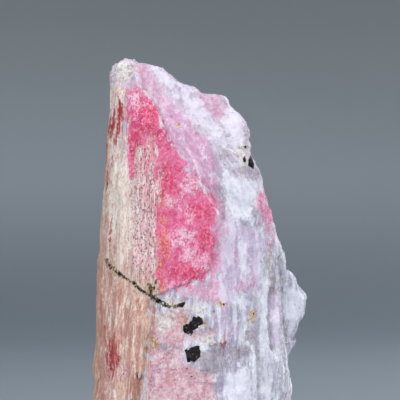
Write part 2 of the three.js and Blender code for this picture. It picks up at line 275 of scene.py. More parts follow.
# From front to back, where the back's outlines take over from the front's, and where the red streaks stop.
SIDE_LOW, SIDE_HIGH = 0.6, 2.8
RED_ENDS = (-4.2, -1)
HIGH_RED_ENDS = (-2.6, 0)
HIGH_UP = (34, 38)
FURTHEST_FIELD = 3.0
MINERALS = {
    # Cream fibres of the striated slab.
    "fibre": (
        [
            [(-15.4, -2), (-15.4, 51.78), (-9.79, 49.14), (-8.91, 49.58), (-8.36, 48.26),
             (-8.14, 46.94), (-8.09, 41.88), (-8.03, 40.12), (-7.81, 38.8), (-7.48, 38.14), (-7.21, 39.02),
             (-7.04, 40.78), (-6.6, 42.21), (-6.16, 43.09), (-5.72, 43.64), (-5.28, 43.31), (-4.84, 42.32),
             (-4.57, 41.22), (-4.4, 39.9), (-4.62, 34.73), (-4.73, 30.88), (-4.73, 26.48), (-5.06, 24.28),
             (-5.39, 21.53), (-5.83, 19.88), (-5.83, 14.16), (-6.7, 8), (-6.4, 3.4), (-7.2, -2)],
        ],
        [
            [(-15, -2), (-15, 50), (-9.2, 49), (-8.6, 38), (-7.2, 30), (-7.6, 18), (-6.4, 8), (-6, -2)],
            [(-2.2, 36), (-0.8, 38), (0.4, 30), (1.2, 18), (0.6, 8), (-0.6, 10), (-1.2, 22)],
        ],
    ),
    # The deep pink tugtupite.
    "hot": (
        [
            [(-8.36, 48.59), (-7.15, 48.7), (-5.96, 48.43), (-4.95, 47.05), (-4.1, 45.73), (-3.85, 44.03),
             (-3.09, 42.21), (-1.76, 41), (-1.43, 39.15), (-0.5, 39.1), (0.3, 38), (1.5, 36.9),
             (1.9, 35.4), (1.63, 33.76), (1.43, 32.09), (1.63, 30.4), (1.43, 28.68), (0.55, 27.91),
             (-0.44, 27.28), (-2.09, 26.48), (-3.76, 26.26), (-5.06, 26.04), (-5.5, 27.58), (-5.72, 31.98),
             (-6.6, 35.28), (-7.26, 37.48), (-7.81, 38.8), (-8.14, 40.78), (-8.36, 45.18)],
            (7.05, 36.3, 0.3, 0.8), (7.6, 34.9, 0.2, 0.7),
        ],
        [
            [(-6.2, 36), (-4.4, 41.4), (-2.9, 43), (-2.2, 40.2), (-1.1, 37.6), (-1.7, 33.4), (-3.1, 30.4),
             (-2.8, 27.2), (-4.4, 24.6), (-5.6, 26.6), (-5.1, 30.2)],
            [(3.6, 22.6), (4.9, 24), (5.9, 21.2), (5.2, 18.8), (6.4, 16.4), (5.1, 13.6), (3.2, 12.8),
             (2.7, 15.4), (3.9, 18.4)],
            (1.1, 30.4, 0.5, 1), (-5.6, 19.4, 0.5, 0.9),
        ],
    ),
    # Where the pink is deepest.
    "deep": (
        [
            (-5.94, 46.06, 0.99, 1.98), (-4.73, 44.08, 0.66, 1.32), (-7.26, 41.88, 0.55, 1.43),
            (-3.52, 38.36, 0.99, 1.76), (0.55, 31.98, 0.66, 1.98), (-1.32, 28.46, 1.76, 1.21),
            (-5.5, 44.52, 1.32, 1.32), (-0.44, 35.06, 0.99, 0.88), (-3.85, 39.68, 0.44, 1.1),
            (-7.2, 43.8, 0.9, 1.7),
        ],
        [
            (-3.6, 33, 1.2, 2), (-4.4, 27, 1, 1.4), (4.2, 18, 1.2, 2.6),
        ],
    ),
    # Pale sugary grains inside the pink.
    "pale": (
        [
            (-1.43, 35.06, 0.33, 0.55), (-2.09, 31.98, 1.54, 0.99), (-1.1, 30.55, 0.88, 0.88),
            (-0.99, 37.81, 0.88, 0.99), (0.44, 29.56, 0.66, 0.88), (-3.3, 36.27, 0.66, 0.44),
            (-4.62, 26.92, 0.66, 0.55), (-2.86, 26.81, 0.99, 0.44), (-7.15, 47.38, 0.99, 0.88),
        ],
        [
            (-3, 30, 0.8, 1), (5.2, 14, 0.7, 1.2),
        ],
    ),
    # The orange-red rim along the pink's left side.
    "rim": (
        [
            [(-4.51, 38.8), (-4.07, 37.7), (-4.07, 36.38), (-4.01, 32.97), (-3.63, 31.32), (-3.63, 30),
             (-4.12, 29.34), (-4.12, 26.26), (-4.62, 26.15), (-4.67, 28.68), (-4.62, 34.73)],
        ],
        [
            (6.2, 17, 0.3, 2.6),
        ],
    ),
    # Smooth translucent lavender.
    "lavender": (
        [
            [(-4.4, 47.38), (-3.85, 47.82), (-3.08, 46.94), (-2.2, 46.06), (-1.1, 44.96), (0, 43.86),
             (0.77, 42.76), (1.43, 41.22), (1.76, 39.46), (2.09, 37.48), (0.66, 38.14), (-0.44, 39.13),
             (-1.43, 39.46), (-1.76, 41), (-3.08, 42.21), (-3.74, 43.97), (-4.01, 45.62)],
        ],
        [
            [(0.6, 46), (3, 44), (4, 38), (6.4, 33), (6, 25), (3, 24.6), (1.6, 31), (0, 38)],
        ],
    ),
    # Pale streaky lilac.
    "lilac": (
        [
            [(1.87, 35.83), (2.64, 35.83), (3.08, 34.84), (4.4, 33.85), (5.72, 33.52), (6.82, 32.86),
             (7.26, 31.32), (6.82, 29.56), (6.49, 27.03), (6.27, 25.82), (4.84, 25.82), (3.96, 26.26),
             (3.52, 24.06), (2.42, 23.4), (1.76, 25.38), (1.54, 27.03), (1.76, 29.56), (1.65, 31.98),
             (1.43, 33.96)],
            [(7.7, 26.26), (8.91, 26.15), (9.24, 23.4), (9.02, 20.43), (7.92, 20.43), (7.59, 23.62)],
            [(1.76, 23.4), (3.52, 23.62), (4.4, 22.52), (4.4, 20.98), (3.3, 20.98), (2.2, 21.42)],
            [(1.2, 8.4), (3.2, 7), (4.4, 2.6), (2.6, -1), (0.4, 1.4), (-0.4, 5.6)],
        ],
        [
            (-4, 18, 2.2, 4), (7.6, 8, 1.4, 4), (2, 42, 1.6, 2.6),
        ],
    ),
    # Pale pink.
    "pink": (
        [
            [(-7.37, 51.78), (-5.94, 51.45), (-4.62, 50.46), (-4.07, 48.92), (-3.1, 47.1), (-3.6, 46.2),
             (-4.7, 46.6), (-5.72, 48.5), (-6.6, 49.4), (-7.26, 50.46)],
            (-8, 49, 0.9, 0.6),
            [(-0.11, 48.15), (1.1, 48.15), (2.42, 47.6), (3.08, 46.72), (2.97, 45.51), (1.65, 45.07),
             (0.55, 45.62), (-0.11, 46.72)],
            [(6.27, 37.26), (7.26, 37.26), (7.92, 35.5), (8.25, 33.96), (8.36, 32.42), (7.92, 32.42),
             (7.48, 33.96), (6.82, 35.06), (6.38, 36.16)],
            [(-2.09, 26.81), (1.43, 27.25), (1.98, 28.68), (2.09, 25.38), (1.32, 25.16), (-0.22, 25.49),
             (-2.42, 25.6)],
            (0.66, 35.83, 1.1, 1.54),
            [(1.5, 37), (2.4, 36.4), (2.7, 33), (2.3, 29), (1.3, 27.2), (0.4, 30)],
            [(-5.8, 7.6), (-3, 7), (-1.2, 4.6), (-2.4, 1), (-5.2, 0.4)],
        ],
        [
            [(-8, 47.6), (-5.6, 48.6), (-4.2, 45.6), (-4.9, 42), (-6.6, 39.6), (-7.6, 43)],
            (-3.6, 33, 2.6, 9.6), (4.6, 18.2, 2.4, 6.8), (-4.6, 10.4, 3.2, 5.4), (7, 31, 1, 3),
            (1.6, 3.4, 3.6, 2.6), (-2, 21.5, 1.2, 1.4),
        ],
    ),
    # Flesh-pink translucent grains low down on the left.
    "flesh": (
        [
            [(-5.28, 23.4), (-4.4, 23.95), (-2.86, 24.06), (-1.54, 24.28), (-1.1, 21.75), (0.44, 22.08),
             (1.76, 22.08), (1.32, 21.42), (0, 21.2), (-1.54, 20.76), (-1.98, 19.22), (-1.54, 17.9),
             (0, 17.46), (1.54, 17.02), (1.7, 12), (0.2, 9.6), (-2.4, 11.2), (-4.4, 8.4), (-6.4, 9.4),
             (-6.16, 14.16), (-5.72, 18.78), (-5.5, 21.2)],
        ],
        [
            [(-6.4, 14.6), (-4.2, 15.6), (-2.6, 12.8), (-1.4, 9.6), (-2.8, 6.8), (-5.2, 5.2), (-6.9, 7.4),
             (-6.2, 11)],
            [(-1.8, 2.2), (0.4, 4.6), (2.2, 5.6), (5, 4.2), (4.4, 1.8), (1.4, 0.6)],
        ],
    ),
    # Mauve spots.
    "mauve": (
        [
            (4.07, 30.44, 0.29, 0.99), (4.51, 26.92, 0.49, 0.6), (5.83, 27.03, 0.46, 0.94),
            (6.95, 34.9, 0.5, 1.2),
            (7.59, 31.76, 0.18, 0.55), (-4.4, 26.26, 0.88, 0.33), (-5.28, 16.25, 0.55, 0.99),
            (-4.95, 17.68, 0.66, 0.66),
        ],
        [
            (5, 28, 1, 2),
        ],
    ),
    # Clear grey grains that look darker than the rest, and painted shade at the shoulder and under the black
    # grains.
    "glassy_and_shade": (
        [
            [(-0.22, 20.1), (1.1, 20.3), (2.2, 21), (3.1, 20.2), (3.08, 18.56), (1.98, 17.3), (0.66, 17.2),
             (-0.44, 18.2)],
            # Painted shadow under the black grains, and painted shade on the shoulder's right edge.
            [(3.4, 39.4), (4.2, 40.3), (6.6, 40), (7.2, 39), (6.4, 38.5), (4.6, 38.9)], (5.1, 43.2, 0.4, 1.5),
            (5.72, 21.75, 0.66, 1.21), (4.4, 19.77, 1.21, 0.77), (2.42, 37.26, 0.33, 1.98),
            (2.75, 41.88, 0.66, 1.54), (9.13, 22.08, 0.18, 4.62), (-3.3, 20.21, 1.54, 0.44),
            (-1.54, 25.38, 1.54, 0.28), (6.93, 19.66, 0.22, 1.54), (6.54, 16.36, 0.15, 2.2),
            (0, 21.97, 1.76, 0.33),
        ],
        [
            (2, 20, 1.6, 5), (-1, 40, 1, 3),
        ],
    ),
    # Opaque white.
    "white": (
        [
            [(-5.94, 51.56), (-4.62, 51.34), (-3.52, 50.68), (-2.86, 49.36), (-2.2, 48.26), (-3.08, 47.82),
             (-3.96, 48.92), (-5.06, 50.02)],
            [(-2.64, 49.58), (-1.32, 49.14), (-0.44, 47.71), (0.88, 46.06), (1.76, 44.74), (2.86, 43.2),
             (3.52, 41.88), (2.42, 41.88), (1.1, 43.42), (-0.44, 44.74), (-1.76, 46.5), (-2.64, 47.82)],
            [(2.86, 47.6), (3.6, 47.4), (4.5, 45), (4.7, 43), (4.6, 41.6), (3.96, 41.88), (3.08, 43.2),
             (2.64, 44.96)],
            [(2.42, 40.2), (3.4, 38.9), (5, 38.5), (7, 38.2), (7.15, 37.26), (6.16, 36.82), (5.72, 33.96),
             (3.52, 33.85), (3.19, 35.83), (2.42, 38.58)],
            [(3.08, 37.92), (3.96, 38.14), (5.72, 37.92), (5.72, 35.5), (5.61, 33.96), (4.4, 33.96),
             (3.41, 34.84), (3.08, 36.6)],
            [(6.6, 30.44), (7.26, 30.44), (7.48, 25.38), (7.7, 20.43), (7.92, 14.16), (8.2, 4), (7.2, 3),
             (6.82, 14.16), (6.71, 20.43), (6.6, 25.38)],
            [(4.29, 31.65), (5.28, 31.54), (5.39, 29.56), (5.17, 28.13), (4.4, 28.02)],
            [(2.42, 14.16), (3.08, 17.02), (4.18, 18.12), (5.28, 18.12), (5.72, 16.14), (5.5, 12), (4.2, 8.6),
             (2.6, 10)],
            (4.6, 25.2, 0.7, 0.8), (-8.3, 51.3, 1, 0.5),
            [(9.24, 26.48), (10.56, 27.25), (11.44, 25.38), (11, 23.18), (10.12, 21.64), (9.57, 23.18)],
            [(6.05, 18.78), (6.93, 18.56), (6.82, 14.16), (6.6, 8), (5.94, 14.16)],
        ],
        [
            (-8.6, 50.4, 1.6, 1.6), (-2, 44.6, 2.2, 2), (3.4, 30, 1.6, 4), (-4.6, 3, 2, 2.4),
            (0.6, 14, 1.4, 4), (-5.4, 37.6, 1.2, 1.8), (9, 14, 1.4, 6),
        ],
    ),
    # Warm white grains.
    "cream": (
        [
            (-8.4, 50.5, 1.3, 1.3), (4.4, 41, 0.66, 1.1), (-0.44, 24.28, 0.99, 0.66),
            (0.7, 20.95, 0.8, 0.62), (4.95, 42.1, 0.55, 0.44), (-1.54, 23.62, 0.44, 0.44),
            [(-4.9, 23.9), (-3.4, 24.1), (-2.4, 23.4), (-2.5, 22.5), (-3.5, 21.8), (-4.4, 21.8)],
        ],
        [
            (-8, 48, 1.6, 1.6), (4, 12, 1, 2),
        ],
    ),
    # Red streaks.
    "red": (
        [
            (-9.75, 19.5, 0.75, 2.2), (-10.67, 22, 0.26, 1.2), (-9.75, 44.4, 0.5, 1.2),
            (-8.95, 44.9, 0.34, 1.9), (-10.3, 41.5, 0.1, 2.2), (-6.6, 24.39, 0.17, 0.33),
            (-10.12, 32.2, 0.22, 0.99), (2.75, 20.65, 0.33, 0.66), (-9.2, 9.4, 0.3, 2.4),
        ],
        [
            (-9.4, 24, 0.3, 2.4), (-8.2, 14, 0.4, 1.8), (-0.6, 27, 0.3, 1.6), (-9.6, 40, 0.3, 1.4),
        ],
    ),
    # Rusty tan stain.
    "tan": (
        [
            [(-15.4, -2), (-15.4, 46), (-9.7, 46), (-9.8, 40), (-10.1, 37), (-10.2, 33), (-10.2, 29.4),
             (-10.56, 27.03), (-10.34, 22.08), (-10.5, 14.16), (-10.4, 8), (-11, 3), (-11.6, -2)],
            (-5.28, 20.32, 0.55, 0.88), (-2.31, 23.07, 0.29, 0.66), (7.48, 29.45, 0.6, 1.2),
            (8.03, 27.03, 0.45, 0.9), (5.72, 23.51, 0.33, 0.55), (-1.65, 23.62, 0.44, 0.49),
            (2.31, 24.89, 0.55, 0.29), (-8, 5, 0.9, 3), (-9.9, 29.56, 0.33, 1.32),
            (-5.83, 27.14, 0.44, 0.66),
        ],
        [
            (-11, 20, 1.6, 9), (-6.6, 33, 0.5, 2), (0, 20, 0.5, 3), (8.4, 22, 0.5, 1.6),
        ],
    ),
    # Ochre grains beside the black ones.
    "ochre": (
        [
            (-2.36, 44.72, 0.2, 0.2), (2.3, 24.9, 0.5, 0.25), (-5.4, 26.6, 0.45, 0.55),
            (-9.3, 28.3, 0.3, 0.3),
            (0.35, 22.75, 0.5, 0.18), (-3.2, 24.9, 0.5, 0.2), (-1.55, 23.3, 0.2, 0.4), (5.7, 23.6, 0.35, 0.6),
            (-4.95, 20.7, 0.3, 0.5),
        ],
        [
            (-3.2, 32.6, 0.5, 0.3), (3, 16.6, 0.4, 0.4),
        ],
    ),
    # Dark specks among the fibres.
    "pepper": (
        [
            [(-6.93, 41.88), (-5.5, 42.98), (-4.4, 41.88), (-4.4, 35.83), (-4.73, 26.48), (-6.38, 26.7),
             (-7.7, 29.56), (-7.7, 36.38), (-7.26, 38.58)],
            (-9.1, 44.9, 0.6, 2.8), (-8.36, 17.46, 0.77, 0.55), (-10.23, 17.13, 0.33, 1.32),
        ],
        [
            (-7.4, 30, 1.4, 6), (-7.6, 12, 1, 5), (-0.4, 30, 0.9, 5),
        ],
    ),
}
# The dark crack, the thin painted highlights along the crests where two break faces meet, and the deep
# grooves, which are also darkened with painted shade: lines of [x, z] at the front.
CRACKS = [
    [(-10.23, 29.67), (-9.9, 29.01), (-9.35, 28.52), (-8.69, 28.13), (-7.92, 27.64), (-7.26, 27.14),
     (-6.71, 26.59), (-6.05, 26.26), (-5.39, 25.82), (-4.84, 25.44), (-4.29, 25.16), (-3.52, 24.78),
     (-2.75, 24.67), (-1.98, 24.83)],
    [(-5.5, 25.93), (-5.33, 26.59), (-5.61, 27.14)],
    [(-5.39, 26.37), (-5, 26.76), (-4.9, 27.31)],
    [(-5.5, 26.48), (-5.83, 26.76)],
]
CREST_HIGHLIGHTS = [
    [(-6.16, 48.48), (-5.28, 47.27), (-4.62, 45.95), (-4.07, 44.63), (-3.52, 42.98), (-2.86, 42.1),
     (-2.42, 41.66)],
    [(-1.54, 42.21), (-0.77, 41), (-0.11, 39.35), (0.22, 37.81), (1.43, 35.83), (2.09, 34.84)],
]
GROOVES = [
    [(8.8, 30), (9.13, 28.13), (9.35, 25.93), (9.52, 23.18), (9.85, 20.43), (10.01, 17.9)],
    [(6.49, 19.88), (6.54, 17.46), (6.6, 14.16)],
    [(7.92, 26.48), (7.81, 23.18), (8.03, 19.88)],
]


def inside_by(shapes, x, z):
    """How far inside any of a mineral's outlines and ovals points lie, less than zero outside them all."""
    best = np.full(x.shape, -FURTHEST_FIELD)
    for shape in shapes:
        if isinstance(shape, list):
            depth = -outline_distance(shape, x, z)
        else:
            cx, cz, rx, rz = shape
            depth = (1 - np.hypot((x - cx) / rx, (z - cz) / rz)) * min(rx, rz)
        best = np.maximum(best, depth)
    return np.minimum(best, FURTHEST_FIELD)


def line_distance(lines, x, z):
    """How far points lie from the nearest of some lines."""
    nearest = np.full(x.shape, FURTHEST_FIELD)
    for line in lines:
        for start, end in zip(line, line[1:]):
            nearest = np.minimum(nearest, edge_distance(start, end, x, z))
    return nearest


nearness = CAMERA_DISTANCE / (CAMERA_DISTANCE + skin[:, 1])
seen_x, seen_z = (skin[:, 0] - EYE_RIGHT) * nearness, EYE_HEIGHT + (skin[:, 2] - EYE_HEIGHT) * nearness
at_back = smooth(skin[:, 1], SIDE_LOW, SIDE_HIGH)
fields = {}
for mineral, (front_shapes, back_shapes) in MINERALS.items():
    front_field = inside_by(front_shapes, seen_x, seen_z)
    back_field = inside_by(back_shapes, skin[:, 0], skin[:, 2])
    fields[mineral] = front_field * (1 - at_back) + back_field * at_back
high_up = smooth(skin[:, 2], *HIGH_UP)
red_ends = smooth(skin[:, 1], *RED_ENDS) * (1 - high_up) + smooth(skin[:, 1], *HIGH_RED_ENDS) * high_up
fields["red"] -= FURTHEST_FIELD * red_ends * (1 - at_back)
for name, lines in (("crack", CRACKS), ("crest_highlight", CREST_HIGHLIGHTS), ("groove", GROOVES)):
    fields[name] = line_distance(lines, seen_x, seen_z) + FURTHEST_FIELD * at_back


def shown(name, data):
    """A new object, put into the scene."""
    thing = bpy.data.objects.new(name, data)
    bpy.context.scene.collection.objects.link(thing)
    return thing


def mesh_of(name, points, faces):
    """A mesh from points in millimetres and four-sided faces."""
    mesh = bpy.data.meshes.new(name)
    mesh.vertices.add(len(points))
    mesh.vertices.foreach_set("co", (points / PER_METRE).astype(np.float32).ravel())
    mesh.loops.add(faces.size)
    mesh.loops.foreach_set("vertex_index", faces.astype(np.int32).ravel())
    mesh.polygons.add(len(faces))
    mesh.polygons.foreach_set("loop_start", np.arange(0, faces.size, 4, dtype=np.int32))
    mesh.update(calc_edges=True)
    mesh.validate()
    return mesh


bare_mesh = mesh_of("bare_stone", skin, skin_faces)
for mineral, depths in fields.items():
    layer = bare_mesh.attributes.new(mineral, "FLOAT", "POINT")
    layer.data.foreach_set("value", depths.astype(np.float32))
stone = shown("tugtupite_rock", bare_mesh)


# The fine relief of the stone.
# The slab splits into fibres, the flank into blades, and everything else breaks into sugary grains, so the
# surface is raised and sunk by each of them where that mineral is.
FIBRE_LEAN = 0.045


class Wire:
    """One output of a node. Arithmetic with wires adds Math nodes to their tree."""

    def __init__(self, tree, socket):
        self.tree = tree
        self.socket = socket

    @staticmethod
    def node(tree, kind, settings=None, sockets=None, out=0):
        """Adds a node: its settings first, then a value or a wire for each socket. Gives one output."""
        made = tree.nodes.new(kind)
        for name, value in (settings or {}).items():
            setattr(made, name, value)
        for name, value in (sockets or {}).items():
            if isinstance(value, Wire):
                tree.links.new(value.socket, made.inputs[name])
            else:
                made.inputs[name].default_value = value
        return Wire(tree, made.outputs[out]) if len(made.outputs) else None

    def worked(self, operation, *terms):
        return Wire.node(self.tree, "ShaderNodeMath", {"operation": operation}, dict(enumerate(terms)))

    def __add__(self, other):
        return self.worked("ADD", self, other)

    __radd__ = __add__

    def __sub__(self, other):
        return self.worked("SUBTRACT", self, other)

    def __rsub__(self, other):
        return self.worked("SUBTRACT", other, self)

    def __mul__(self, other):
        return self.worked("MULTIPLY", self, other)

    __rmul__ = __mul__

    def __abs__(self):
        return self.worked("ABSOLUTE", self)

    def __pow__(self, other):
        return self.worked("POWER", self, other)

    def larger(self, other):
        return self.worked("MAXIMUM", self, other)

    def eased(self, low, high):
        """From 0 at low to 1 at high, easing in and out."""
        sockets = {"Value": self, "From Min": low, "From Max": high}
        return Wire.node(self.tree, "ShaderNodeMapRange", {"interpolation_type": "SMOOTHSTEP"}, sockets)


def parts_of(position):
    return [Wire.node(position.tree, "ShaderNodeSeparateXYZ", sockets={0: position}, out=a) for a in range(3)]


def rock_place(position):
    """The parts of a position in millimetres, the first of them leaning with the stone's fibres."""
    x, y, z = [part * PER_METRE for part in parts_of(position)]
    return x - z * FIBRE_LEAN, y, z


def joined(x, y, z):
    return Wire.node(x.tree, "ShaderNodeCombineXYZ", sockets={0: x, 1: y, 2: z})


def cloudy(place, across, up, detail=3.0, rough=0.6, shift=0.0):
    """Cloudy noise from about 0.2 to 0.8, with so many swells to a millimetre across and up."""
    vector = joined(place[0] * across + shift, place[1] * across, place[2] * up + shift)
    sockets = {"Vector": vector, "Scale": 1.0, "Detail": detail, "Roughness": rough}
    return Wire.node(vector.tree, "ShaderNodeTexNoise", {"noise_dimensions": "3D"}, sockets)


def grains(place, across, up, out="Distance", shift=0.0):
    """The distance from the middle of each grain, or its colour of its own."""
    vector = joined(place[0] * across + shift, place[1] * across, place[2] * up + shift)
    return Wire.node(vector.tree, "ShaderNodeTexVoronoi", sockets={"Vector": vector, "Scale": 1.0}, out=out)


def named(tree, name):
    """A mineral's field, in a tree for shapes."""
    return Wire.node(tree, "GeometryNodeInputNamedAttribute", {"data_type": "FLOAT"}, {"Name": name})


def fitted_tree(name, inputs):
    """A tree for shapes that takes and gives a mesh, with these named sizes."""
    tree = bpy.data.node_groups.new(name, "GeometryNodeTree")
    tree.interface.new_socket("Geometry", in_out="INPUT", socket_type="NodeSocketGeometry")
    tree.interface.new_socket("Geometry", in_out="OUTPUT", socket_type="NodeSocketGeometry")
    for label in inputs:
        tree.interface.new_socket(label, in_out="INPUT", socket_type="NodeSocketFloat")
    return tree, {label: Wire.node(tree, "NodeGroupInput", out=label) for label in ("Geometry", *inputs)}


def bare_material(name):
    """A new material with nothing in its tree yet."""
    material = bpy.data.materials.new(name)
    material.use_nodes = True
    material.node_tree.nodes.clear()
    return material


def ended(tree, shape, material):
    """Ends a tree for shapes: what it made is made real and given its material."""
    shape = Wire.node(tree, "GeometryNodeRealizeInstances", sockets={"Geometry": shape})
    shape = Wire.node(tree, "GeometryNodeSetMaterial", sockets={"Geometry": shape, "Material": material})
    Wire.node(tree, "NodeGroupOutput", sockets={0: shape})


def grown(piece, tree, inputs, name):
    """Runs a tree on a piece and gives the result as a plain mesh."""
    modifier = piece.modifiers.new(name, "NODES")
    modifier.node_group = tree
    sockets = {item.name: item.identifier for item in tree.interface.items_tree if item.in_out == "INPUT"}
    for label, value in inputs.items():
        modifier[sockets[label]] = value
    graph = bpy.context.evaluated_depsgraph_get()
    mesh = bpy.data.meshes.new_from_object(piece.evaluated_get(graph), preserve_all_data_layers=True,
                                           depsgraph=graph)
    mesh.name = name
    piece.modifiers.remove(modifier)
    return mesh


RELIEF_SIZES = {
    "Fibres per mm": 1.5,
    "Fibre depth": 0.22,
    "Rib depth": 0.3,
    "Grains per mm": 1.1,
    "Grain height": 0.2,
    "Lump height": 0.3,
    "Blades per mm": 0.8,
    "Blade depth": 0.3,
    "Groove depth": 0.4,
}
tree, given = fitted_tree("fine_relief", RELIEF_SIZES)
position = Wire.node(tree, "GeometryNodeInputPosition")
place = rock_place(position)
fibre = named(tree, "fibre").eased(-0.25, 0.35)
hot = named(tree, "hot").eased(-0.2, 0.3)
lavender = named(tree, "lavender").eased(-0.4, 0.3)
strands = cloudy([p * given["Fibres per mm"] for p in place], 1.0, 0.06, 4.0, 0.62)
ribs = cloudy(place, 0.55, 0.03, 2.0, 0.5, 7.0)
clods = grains([p * given["Grains per mm"] for p in place], 1.0, 0.8)
crumbs = grains([p * given["Grains per mm"] for p in place], 2.1, 1.7, shift=3.0)
lumps = cloudy(place, 0.3, 0.22, 3.0, 0.6, 11.0)
blades = cloudy([p * given["Blades per mm"] for p in place], 1.0, 0.07, 3.0, 0.55, 5.0)
flank = place[0].eased(2.6, 5.6) * (1 - place[2].eased(32.0, 37.0))
raised = (strands - 0.5) * 2.0 * given["Fibre depth"] * fibre
raised = raised + (ribs - 0.5) * 2.0 * given["Rib depth"] * fibre
calm = (named(tree, "white").eased(-0.4, 0.6) * 0.5).larger(lavender * 0.8)
sugar = (1 - fibre) * (1 - calm) * (1 - hot * 0.35)
raised = raised + ((0.45 - clods) + (0.45 - crumbs) * 0.5) * given["Grain height"] * sugar
raised = raised + (lumps - 0.5) * 2.0 * given["Lump height"] * (1 - fibre * 0.7)
raised = raised + (blades - 0.5) * 2.0 * given["Blade depth"] * flank
raised = raised - (1 - named(tree, "groove").eased(0.0, 0.5)) * given["Groove depth"]
above_foot = place[2].eased(0.0, 1.2)
normal = Wire.node(tree, "GeometryNodeInputNormal")
push = Wire.node(tree, "ShaderNodeVectorMath", {"operation": "SCALE"},
                 {0: normal, "Scale": raised * above_foot * (1 / PER_METRE)})
shaped = Wire.node(tree, "GeometryNodeSetPosition", sockets={"Geometry": given["Geometry"], "Offset": push})
rock = bare_material("tugtupite_rock")
ended(tree, shaped, rock)
stone.data = grown(stone, tree, RELIEF_SIZES, "tugtupite_rock")
stone.data.polygons.foreach_set("use_smooth", np.ones(len(stone.data.polygons), bool))


# The stone's colours.
# Deep pink tugtupite, cream fibres, lavender and white grains are told apart by their fields, with ragged
# edges. The rock is broken, so its gloss comes and goes from grain to grain.
def tint(red, green, blue):
    """A colour as the eye sees it, from 0 to 255, in the light's own measure."""
    parts = [v / 255 for v in (red, green, blue)]
    return tuple(v / 12.92 if v <= 0.04045 else ((v + 0.055) / 1.055) ** 2.4 for v in parts) + (1.0,)


def blended(share, first, second):
    """One colour giving way to another."""
    return Wire.node(share.tree, "ShaderNodeMix", {"data_type": "RGBA"}, {0: share, 6: first, 7: second}, 2)


def bumped(height):
    """The surface's direction, as if it stood out by a height in millimetres."""
    sockets = {"Strength": 1.0, "Distance": 1 / PER_METRE, "Height": height}
    return Wire.node(height.tree, "ShaderNodeBump", sockets=sockets)


tree = rock.node_tree
place = rock_place(Wire.node(tree, "ShaderNodeTexCoord", out="Object"))


def depth_in(name):
    """How deep inside a mineral the surface lies here, or how far from a line, in millimetres."""
    return Wire.node(tree, "ShaderNodeAttribute", {"attribute_name": name}, out="Fac")


def field(name, fray, low, high):
    """How much of a mineral is here, from 0 to 1, along an edge that is frayed by so many millimetres."""
    return (depth_in(name) + fray).eased(low, high)


ragged = cloudy(place, 1.1, 0.9, 7.0, 0.72, 2.0) - 0.5
drawn_out = cloudy(place, 1.9, 0.22, 6.0, 0.7, 1.0) - 0.5
mottle = cloudy(place, 1.3, 1.1, 7.0, 0.74, 8.0)
fine = cloudy(place, 4.2, 3.4, 3.0, 0.7, 13.0)
salt = cloudy(place, 5.2, 3.9, 2.0, 0.6, 17.0)
strands = cloudy(place, 3.0, 0.42, 6.0, 0.76)
bands = cloudy(place, 0.8, 0.06, 4.0, 0.6, 4.0)
specks = cloudy(place, 6.0, 2.8, 2.0, 0.7, 9.0)
streaks = cloudy(place, 1.3, 0.2, 6.0, 0.62, 6.0)
swirl = cloudy(place, 0.9, 0.4, 5.0, 0.6, 21.0)
# High up on the right the rock has split along slanting planes, so its streaks slant there.
slant = place[2].eased(32.0, 37.0) * place[0].eased(-7.5, -4.5)
split = cloudy((place[0] + place[2] * 0.75, place[1], place[2]), 1.2, 0.2, 6.0, 0.64, 31.0)
streaks = streaks * (1 - slant) + split * slant
grain_chance = grains(place, 2.2, 1.9, "Color")
crumb_chance = grains(place, 4.4, 3.8, "Color", 5.0)
seams = (1 - abs(swirl - 0.5).eased(0.0, 0.02)) * mottle.eased(0.42, 0.56)
lower_right = place[0].eased(3.0, 6.0) * (1 - place[2].eased(27.0, 33.0))

# Cool white rock, in upright streaks and cloudy patches, clearer low down on the right.
cool = blended(streaks.eased(0.42, 0.56), tint(170, 164, 186), tint(214, 216, 231))
cool = blended(lower_right * (1 - streaks.eased(0.42, 0.56)) * 0.45, cool, tint(168, 168, 184))
cool = blended((fine * 0.25 + streaks * 0.75).eased(0.54, 0.62), cool, tint(244, 246, 252))
cool = blended((1 - mottle.eased(0.38, 0.47)) * 0.4, cool, tint(176, 164, 186))
cool = blended(place[2].eased(33.0, 44.0) * 0.4, cool, tint(224, 196, 220))
colour = blended(seams * 0.6, cool, tint(246, 246, 250))
lilac = blended(streaks.eased(0.42, 0.58), tint(190, 172, 202), tint(218, 207, 230))
lilac = blended((seams + salt.eased(0.64, 0.7) * 0.5) * 0.8, lilac, tint(242, 240, 248))
colour = blended(field("lilac", ragged * 4 + drawn_out * 3, -0.4, 0.4) * 0.9, colour, lilac)
lavender = blended((mottle * 0.5 + streaks * 0.5).eased(0.44, 0.58), tint(200, 146, 184), tint(216, 178, 208))
lavender = blended((seams + salt.eased(0.66, 0.72) * 0.4) * 0.75, lavender, tint(246, 236, 246))
colour = blended(field("lavender", ragged * 4 + drawn_out * 2, -0.5, 0.25) * 0.95, colour, lavender)
pink_rock = blended((fine * 0.3 + mottle * 0.7).eased(0.42, 0.58), tint(212, 148, 182), tint(222, 190, 214))
colour = blended(field("pink", ragged * 5 + drawn_out * 2, -0.6, 0.6) * 0.85, colour, pink_rock)
flesh = blended((fine * 0.3 + mottle * 0.7).eased(0.42, 0.58), tint(206, 148, 158), tint(226, 193, 205))
flesh = blended((salt * 0.6 + mottle * 0.4).eased(0.54, 0.62) * 0.7, flesh, tint(240, 228, 232))
colour = blended(field("flesh", ragged * 5, -0.6, 0.5) * 0.9, colour, flesh)
